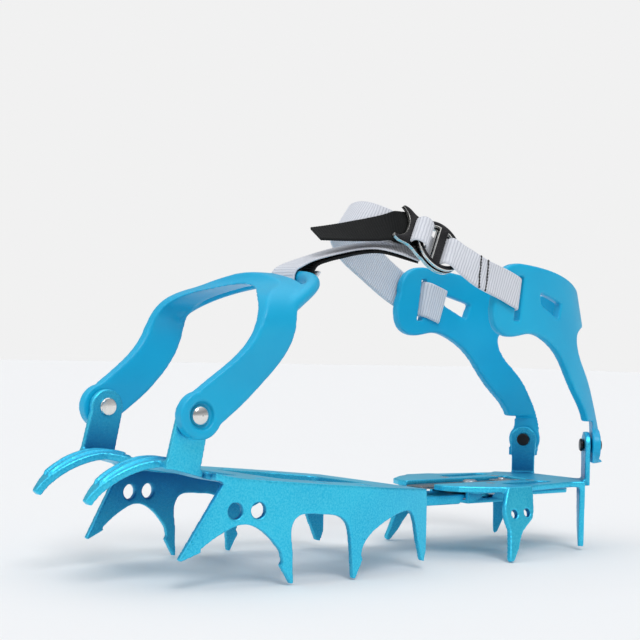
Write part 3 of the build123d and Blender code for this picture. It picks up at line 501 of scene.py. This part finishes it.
def catmull_rom(rows, step):
    """Rows evenly spaced by about step along a centripetal Catmull-Rom curve through the
    first three columns, with their arc lengths. The other columns follow."""
    padded = np.vstack([2 * rows[0] - rows[1], rows, 2 * rows[-1] - rows[-2]])
    pieces = []
    for i in range(1, len(padded) - 2):
        four = padded[i - 1:i + 3]
        gaps = [max(np.linalg.norm(after[:3] - before[:3]), 1e-6) ** 0.5
                for before, after in zip(four, four[1:])]
        knots = np.cumsum([0, *gaps])
        at = np.linspace(knots[1], knots[2], 40, endpoint=False)[:, None]
        near = [between(at, knots[k], knots[k + 1], four[k], four[k + 1]) for k in range(3)]
        wide = [between(at, knots[k], knots[k + 2], near[k], near[k + 1]) for k in range(2)]
        pieces.append(between(at, knots[1], knots[2], *wide))
    curve = np.vstack(pieces + [padded[-2][None]])
    lengths = arc_lengths(curve[:, :3])
    even = np.linspace(0, lengths[-1], int(max(60, lengths[-1] / step)))
    return np.stack([np.interp(even, lengths, column) for column in curve.T], 1), even


# tape cross section; positions across run from 0 on the centre line to 1 at the edge
COLUMNS = 26                                      # vertices across each face
TAPER_START, TAPER_SPAN = 0.90, 0.10              # where the edge thins
TAPER_POWER, TAPER_DEPTH = 2.2, 0.72              # how it thins, and by what share
SELVEDGE_HEIGHT, SELVEDGE_SPAN = 0.06, 0.035      # raised line at TAPER_START, height in mm
FADE_START, FADE_SPAN = 0.86, 0.14                # where the ribs die out
RIB_STEPS = 6                                     # rows per rib
RIB_DRIFT = 0.02                                  # random phase change from row to row
RIB_WOBBLE, WOBBLE_ACROSS, WOBBLE_ALONG = 0.25, 9, 0.01    # ribs waver across the tape
RIB_SPREAD = 0.006                                # share by which a crest is wider


def webbing(name, node, slot, stations, thickness, rib_pitch, rib_height, seed):
    """Flat woven tape in place of a CAD node, with ribs, selvedge and thickness modelled.
    Returns the object and its centre line, which stitches() needs. Lengths in mm."""
    rows = np.array(stations, float)
    for row in rows:
        row[3:6] /= np.linalg.norm(row[3:6])
    rows, along = catmull_rom(rows, rib_pitch / RIB_STEPS)
    center, across, widths = rows[:, :3], rows[:, 3:6], rows[:, 6]
    tangent = np.gradient(center, along, axis=0)
    tangent /= np.linalg.norm(tangent, axis=1)[:, None]
    across = across - tangent * np.sum(across * tangent, 1)[:, None]
    across /= np.linalg.norm(across, axis=1)[:, None]
    normal = np.cross(tangent, across)
    count = len(along)
    phase = np.cumsum(np.random.default_rng(seed).normal(0, RIB_DRIFT, count))

    # the closed cross section goes over the top face and back along the bottom
    profile = [(-1 + 2 * k / (COLUMNS - 1), 1) for k in range(COLUMNS)]
    profile += [(1 - 2 * k / (COLUMNS - 1), -1) for k in range(COLUMNS)]
    vertices, s_values, t_values, rib_shade_values = [], [], [], []
    for i in range(count):
        for place, side in profile:
            edge = abs(place)
            taper = max(0, (edge - TAPER_START) / TAPER_SPAN) ** TAPER_POWER * TAPER_DEPTH
            half = thickness / 2 * (1 - taper)
            selvedge = SELVEDGE_HEIGHT * math.exp(-((edge - TAPER_START) / SELVEDGE_SPAN) ** 2)
            wobble = RIB_WOBBLE * math.sin(place * WOBBLE_ACROSS + i * WOBBLE_ALONG)
            rib = 0.5 + 0.5 * math.cos(
                2 * math.pi * (along[i] / rib_pitch) + phase[i] + wobble)
            fade = 1 - max(0, (edge - FADE_START) / FADE_SPAN)
            height = half + (rib - 0.5) * rib_height * fade + selvedge
            offset = place * widths[i] / 2 * (1 + RIB_SPREAD * rib)
            vertices.append(center[i] + across[i] * offset + normal[i] * height * side)
            s_values.append(along[i])
            t_values.append(place * widths[i] / 2)
            # shade value: follows the ribs, constant on the outermost edge
            rib_shade_values.append(0.25 + 0.75 * rib * fade if edge < 0.97 else 0.7)

    around = len(profile)
    faces = []
    for i in range(count - 1):
        for k in range(around):
            a, b = i * around + k, i * around + (k + 1) % around
            faces.append((a, a + around, b + around, b))
    # close the ends with quads between the top and bottom faces
    for base, turn in ((0, 1), ((count - 1) * around, -1)):
        for k in range(COLUMNS - 1):
            quad = (base + k, base + k + 1, base + around - 2 - k, base + around - 1 - k)
            faces.append(quad[::turn])
    tape = add_mesh(name, to_frame(vertices), faces, MATERIALS[slot],
                    {"s_mm": s_values, "t_mm": t_values, "rib": rib_shade_values})
    tape["len_mm"] = float(along[-1])
    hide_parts(node)
    return tape, SimpleNamespace(along=along, center=center, across=across, normal=normal,
                                 thickness=thickness)


def tube(path, radii, sides):
    """Vertices and faces of a capped tube with one radius per path point."""
    tangents = np.gradient(path, axis=0)
    tangents /= np.linalg.norm(tangents, axis=1)[:, None]
    reference = np.array([0.3, 0.2, 0.93])
    vertices, faces = [], []
    for point, tangent, radius in zip(path, tangents, radii):
        first = np.cross(tangent, reference)
        first /= np.linalg.norm(first)
        second = np.cross(tangent, first)
        for k in range(sides):
            angle = 2 * math.pi * k / sides
            vertices.append(point + (first * math.cos(angle) + second * math.sin(angle)) * radius)
    for i in range(len(path) - 1):
        for k in range(sides):
            a, b = i * sides + k, i * sides + (k + 1) % sides
            faces.append((a, b, b + sides, a + sides))
    faces.append(tuple(range(sides))[::-1])
    faces.append(tuple((len(path) - 1) * sides + k for k in range(sides)))
    return vertices, faces


def stitches(name, line, seams, pitch, radius, lift, sink, material, body):
    """Arched thread tubes on the tape face against its normal. A seam is a polyline of
    (distance along, offset across); lift and sink place a stitch's middle and ends. In mm."""
    samples = 7
    radii = radius / 1000 * (0.75 + 0.25 * np.sin(np.linspace(0, math.pi, samples)))
    vertices, faces = [], []
    for seam in seams:
        seam = np.array(seam, float)
        lengths = arc_lengths(seam)
        count = max(1, int(lengths[-1] / pitch))
        for j in range(count):
            # each stitch leaves 8% of its share bare at both ends
            start = lengths[-1] * (j + 0.08) / count
            end = lengths[-1] * (j + 0.92) / count
            path = []
            for i, at in enumerate(np.linspace(start, end, samples)):
                distance = np.interp(at, lengths, seam[:, 0])
                offset = np.interp(at, lengths, seam[:, 1])
                center, across, normal = (
                    np.array([np.interp(distance, line.along, column) for column in field.T])
                    for field in (line.center, line.across, line.normal))
                arch = math.sin(math.pi * i / (samples - 1))
                height = line.thickness / 2 + lift * arch - sink * (1 - arch)
                path.append(to_frame(center + across * offset - normal * height))
            tube_vertices, tube_faces = tube(np.array(path), radii, sides=6)
            first = len(vertices)
            vertices += tube_vertices
            faces += [tuple(index + first for index in face) for face in tube_faces]
    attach(add_mesh(name, vertices, faces, material), body)


# Buckle axes: RUN from the cradle toward the toe, ACROSS over the tape's width, and OUT
# square to both on the +x side. RUN and ACROSS are tilted together in their plane.
BUCKLE = np.array([30.75, 97.3, 153.0])
CRADLE_EXIT = np.array([40.4, 146, 130.0])
BUCKLE_TILT = math.radians(8.6)
straight = BUCKLE - CRADLE_EXIT
straight /= np.linalg.norm(straight)
upright = np.array([-7.0, 9.3, 14.5])
upright = upright - straight * (upright @ straight)
upright /= np.linalg.norm(upright)
OUT = np.cross(upright, straight)
OUT /= np.linalg.norm(OUT)
RUN = straight * math.cos(BUCKLE_TILT) + upright * math.sin(BUCKLE_TILT)
ACROSS = upright * math.cos(BUCKLE_TILT) - straight * math.sin(BUCKLE_TILT)


def buckle_point(run, out, across=0):
    return BUCKLE + RUN * run + OUT * out + ACROSS * across


# Station tables for the tapes. Columns, in mm:
# x, y, height of the centre line; x, y, z of the width direction; width
BUCKLE_TAPE = [
    (33.1, 160.0, 127.4, 0, 0.14, 0.99, 15.8),
    (33.1, 154.0, 129.4, 0, 0.14, 0.99, 15.8),
    (33.3, 149.8, 130.8, 0, 0.14, 0.99, 15.8),
    (34.5, 147.8, 131.5, 0, 0.14, 0.99, 15.8),
    (36.6, 146.7, 131.8, 0, 0.14, 0.99, 15.8),
    (38.8, 145.5, 132.0, 0, 0.14, 0.99, 15.8),
    (40.45, 142.9, 132.6, 0, 0.19, 0.98, 15.8),
    (40.45, 133.8, 136.2, -0.01, 0.24, 0.97, 15.8),
    (39.85, 122.6, 139.9, -0.05, 0.26, 0.96, 15.8),
    (39.3, 117.0, 142.2, -0.10, 0.32, 0.94, 16.0),
    (38.4, 112.0, 145.0, -0.2, 0.44, 0.87, 16.6),
    (37.2, 107.4, 147.8, -0.3, 0.55, 0.78, 17.4),
]
# its path through the buckle: place along RUN, place along OUT, width
BUCKLE_WEAVE = [
    (-8.4, 3.9, 17.8), (-5.4, 3.4, 17.8), (-4.0, 0.8, 17.6), (-3.7, -2.6, 17.6),
    (-1.6, -4.1, 17.4), (2.2, -4.2, 17.0), (4.8, -2.8, 15.8), (6.2, 0.2, 15.4),
    (7.6, 3.2, 15.8), (9.8, 4.35, 16.6), (12.0, 4.3, 16.8), (13.9, 3.2, 16.6),
    (14.7, 1.4, 16.4), (14.7, -0.2, 16.2),
]
BUCKLE_TAPE += [(*buckle_point(run, out), *ACROSS, width) for run, out, width in BUCKLE_WEAVE]
INSTEP_TAPE = [
    (-33.1, 160.0, 126.6, 0, 0.14, 0.99, 19.0),
    (-33.1, 154.0, 128.6, 0, 0.14, 0.99, 19.0),
    (-33.3, 149.8, 129.9, 0, 0.14, 0.99, 19.0),
    (-34.5, 147.8, 130.4, 0, 0.14, 0.99, 19.0),
    (-36.6, 146.6, 130.6, 0, 0.14, 0.99, 19.0),
    (-38.8, 145.4, 130.8, 0, 0.14, 0.99, 19.0),
    (-40.5, 142.8, 131.4, 0, 0.17, 0.98, 19.3),
    (-40.42, 134.0, 135.6, 0, 0.30, 0.95, 19.6),
    (-40.0, 126.0, 139.8, 0.06, 0.36, 0.93, 19.6),
    (-37.2, 110.5, 148.2, 0.12, 0.42, 0.9, 19.6),
    (-31.5, 94.0, 156.0, 0.2, 0.5, 0.84, 19.6),
    (-24.0, 81.5, 162.4, 0.12, 0.54, 0.83, 19.6),
    (-15.0, 73.0, 166.0, 0.05, 0.57, 0.82, 19.6),
    (-5.5, 69.2, 167.5, 0.0, 0.57, 0.82, 19.6),
    (3.0, 68.6, 167.3, -0.03, 0.575, 0.817, 19.6),
    (8.8, 70.3, 166.3, -0.08, 0.59, 0.80, 19.4),
    (13.4, 74.8, 164.5, -0.14, 0.6, 0.78, 19.0),
    (16.4, 79.6, 162.4, -0.2, 0.6, 0.77, 18.6),
    (18.1, 83.2, 160.5, -0.26, 0.6, 0.75, 18.2),
]
TOE_TAPE = [
    (1.0, 42.5, 139.3, 1, -0.05, 0, 18.4), (0.4, 38.6, 134.6, 1, 0, 0, 18.6),
    (0, 35.2, 131.3, 1, 0, 0, 18.8), (0, 31.2, 130.5, 1, 0, 0, 18.8),
    (0, 27.8, 132.2, 1, 0, 0, 18.8), (0, 26.7, 135.6, 1, 0, 0, 18.8),
    (0, 28.2, 139.2, 1, 0, 0, 18.8), (0.3, 31.8, 141.5, 1, 0, 0, 19.0),
    (1.5, 38.5, 144.5, 1, -0.1, 0, 19.2),
    (3.4, 45.5, 147.0, 1, -0.18, -0.04, 19.4),
    (6.0, 53.0, 149.4, 1, -0.26, -0.09, 19.4),
    (9.5, 62.0, 151.7, 0.97, -0.3, -0.12, 19.2),
    (13.6, 70.5, 153.0, 0.93, -0.36, -0.2, 18.8),
    (17.6, 78.5, 153.5, 0.82, -0.38, -0.42, 18.4),
    (21.2, 85.5, 153.2, 0.66, -0.4, -0.62, 18.0),
    (24.0, 91.0, 152.3, 0.5, -0.45, -0.72, 17.6),
]
TOE_RETURN_TAPE = [
    (0.4, 37.4, 138.2, 1, 0, 0, 18.8),
    (1.2, 41.0, 142.2, 1, -0.08, 0, 19.2),
    (3.4, 47.5, 145.1, 1, -0.18, -0.04, 19.4),
    (6.4, 54.5, 147.4, 1, -0.26, -0.09, 19.4),
    (9.8, 62.2, 149.6, 0.97, -0.3, -0.12, 19.2),
    (13.4, 70.6, 151.1, 0.93, -0.36, -0.2, 18.8),
    (16.5, 78.3, 151.9, 0.82, -0.38, -0.42, 18.4),
    (19.7, 85.3, 151.9, 0.66, -0.4, -0.62, 18.0),
    (22.4, 90.8, 151.5, 0.5, -0.45, -0.72, 17.6),
]
TAIL_ACROSS = RUN * 0.67 + ACROSS * 0.74
TAIL_TAPE = [
    (*buckle_point(12.6, -3.9, 6.6), *TAIL_ACROSS, 16.4),
    (*buckle_point(16.0, -3.9, 3.6), *TAIL_ACROSS, 17.0),
    (*buckle_point(21.5, -4.0, -1.2), *TAIL_ACROSS, 17.8),
    (20.2, 73.2, 161.6, -0.7, 0.1, 0.68, 18.2),
    (17.7, 67.0, 160.4, -0.76, 0.16, 0.63, 18.4),
    (15.2, 60.9, 159.5, -0.79, 0.2, 0.57, 18.4),
    (12.6, 54.6, 158.6, -0.82, 0.25, 0.5, 18.4),
    (9.8, 47.6, 157.8, -0.86, 0.27, 0.42, 18.4),
    (7.0, 40.6, 157.1, -0.89, 0.29, 0.35, 18.4),
]

buckle_tape, buckle_line = webbing(
    "buckle_webbing_tape", "buckle_webbing", "webbing_white", BUCKLE_TAPE,
    thickness=1.25, rib_pitch=1.5, rib_height=0.17, seed=1)
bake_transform(buckle_tape)

# two rows of stitching across the buckle tape: the point each row passes, then its
# corners as (distance along from that point, offset across)
BARTACKS = [
    ((39.3, 117.2, 142.1), [(-2.2, -8.0), (-0.5, -2.6), (0.6, 2.6), (2.4, 8.0)]),
    ((39.8, 121.8, 140.2), [(-1.3, -7.9), (-0.6, -2.6), (0.4, 2.6), (1.7, 7.9)]),
]


def distance_along(line, target):
    """Distance along the tape of the point nearest target, from 15% to 60% of its length."""
    share = line.along / line.along[-1]
    gaps = np.linalg.norm(line.center - np.array(target), axis=1)
    gaps[(share < 0.15) | (share > 0.6)] = np.inf
    return float(line.along[np.argmin(gaps)])


bartack_seams = []
for target, corners in BARTACKS:
    origin = distance_along(buckle_line, target)
    bartack_seams.append([(origin + shift, offset) for shift, offset in corners])
stitches("buckle_webbing_bartacks", buckle_line, bartack_seams, pitch=1.5, radius=0.5,
         lift=0.18, sink=0.16, material=BLACK_THREAD, body="buckle")

instep_tape, _ = webbing("instep_webbing_tape", "instep_strap", "webbing_white", INSTEP_TAPE,
                         thickness=1.3, rib_pitch=1.5, rib_height=0.15, seed=2)
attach(instep_tape, "heel_cradle")

toe_tape, _ = webbing("toe_webbing_tape", "toe_strap", "webbing_white", TOE_TAPE,
                      thickness=1.3, rib_pitch=1.5, rib_height=0.15, seed=3)
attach(toe_tape, "toe_webbing")

return_tape, _ = webbing(
    "toe_webbing_return_tape", "toe_strap_return", "webbing_black", TOE_RETURN_TAPE,
    thickness=1.25, rib_pitch=1.3, rib_height=0.15, seed=4)
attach(return_tape, "toe_webbing")

tail_tape, _ = webbing("webbing_tail_tape", "strap_tail", "webbing_black", TAIL_TAPE,
                       thickness=1.3, rib_pitch=1.3, rib_height=0.15, seed=5)
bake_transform(tail_tape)


# ------------------------------------------------------------------ stage, light, camera
def build_floor():
    half = 6                               # metres
    z = -SEAT / 1000 - 0.0006              # just below the ground plane
    graph = new_material("floor_pale")
    graph.feed(graph.shader, {"Base Color": (0.86, 0.86, 0.86), "Roughness": 0.9,
                              "Specular IOR Level": 0.1})
    corners = [(-half, -half, z), (half, -half, z), (half, half, z), (-half, half, z)]
    add_mesh("floor", corners, [(0, 1, 2, 3)], graph.material, smooth=False)


def build_world():
    """Plain pale grey to the camera; everything else is lit by a vertical gradient."""
    world = bpy.data.worlds.new("studio")
    bpy.context.scene.world = world
    world.use_nodes = True
    graph = Graph(world.node_tree)
    output = graph.node("OutputWorld")
    backdrop = graph.node("Background", {0: (0.88, 0.88, 0.88)})
    direction = graph.node("SeparateXYZ", {0: graph.coords["Generated"]})
    gradient = graph.ramp(graph.remap(direction.outputs["Z"], span=(-1, 1)), [
        (0.0, (1.0, 1.0, 1.0)), (0.5, (0.62, 0.63, 0.65)),
        (0.66, (0.30, 0.31, 0.33)), (1.0, (0.85, 0.87, 0.9))])
    lighting = graph.node("Background", {0: gradient, 1: 0.9})
    seen = graph.node("LightPath").outputs["Is Camera Ray"]
    chosen = graph.node("MixShader", {0: seen, 1: lighting.outputs[0], 2: backdrop.outputs[0]})
    graph.feed(output, {0: chosen.outputs[0]})


def sun(name, source, strength, spread):
    """Sun shining from the source direction; spread is its angular size in degrees."""
    light = bpy.data.lights.new(name, "SUN")
    light.energy = strength
    light.angle = math.radians(spread)
    aim = (-Vector(source)).to_track_quat("-Z", "Y").to_euler()
    add_to_scene(name, light).rotation_euler = aim


def build_camera(place, azimuth, pitch, roll, lens):
    """place in mm above the ground; angles in degrees, azimuth turning from +y toward -x."""
    azimuth, pitch, roll = (math.radians(angle) for angle in (azimuth, pitch, roll))
    forward = np.array([-math.sin(azimuth) * math.cos(pitch),
                        math.cos(azimuth) * math.cos(pitch), -math.sin(pitch)])
    level = np.array([math.cos(azimuth), math.sin(azimuth), 0.0])
    upward = np.cross(level, forward)
    pose = np.eye(4)
    pose[:3, 0] = level * math.cos(roll) + upward * math.sin(roll)
    pose[:3, 1] = -level * math.sin(roll) + upward * math.cos(roll)
    pose[:3, 2] = -forward
    pose[:3, 3] = to_frame(place)
    data = bpy.data.cameras.new("camera")
    data.sensor_width = 36.0
    data.lens = lens
    data.clip_start = 0.01
    camera = add_to_scene("camera", data)
    camera.matrix_world = Matrix(pose.tolist())
    bpy.context.scene.camera = camera


build_floor()
build_world()
sun("key", source=(0.75, -0.30, 0.95), strength=1.15, spread=24)
sun("front", source=(-0.25, -1.0, 0.75), strength=0.55, spread=40)
sun("overhead", source=(-0.1, 0.25, 1.0), strength=0.45, spread=60)
build_camera(place=(561.596, -385.229, 103.83), azimuth=52.233, pitch=-1.004, roll=1.41,
             lens=82.769175)
bpy.context.scene.view_settings.view_transform = "Standard"
bpy.context.scene.view_settings.look = "None"
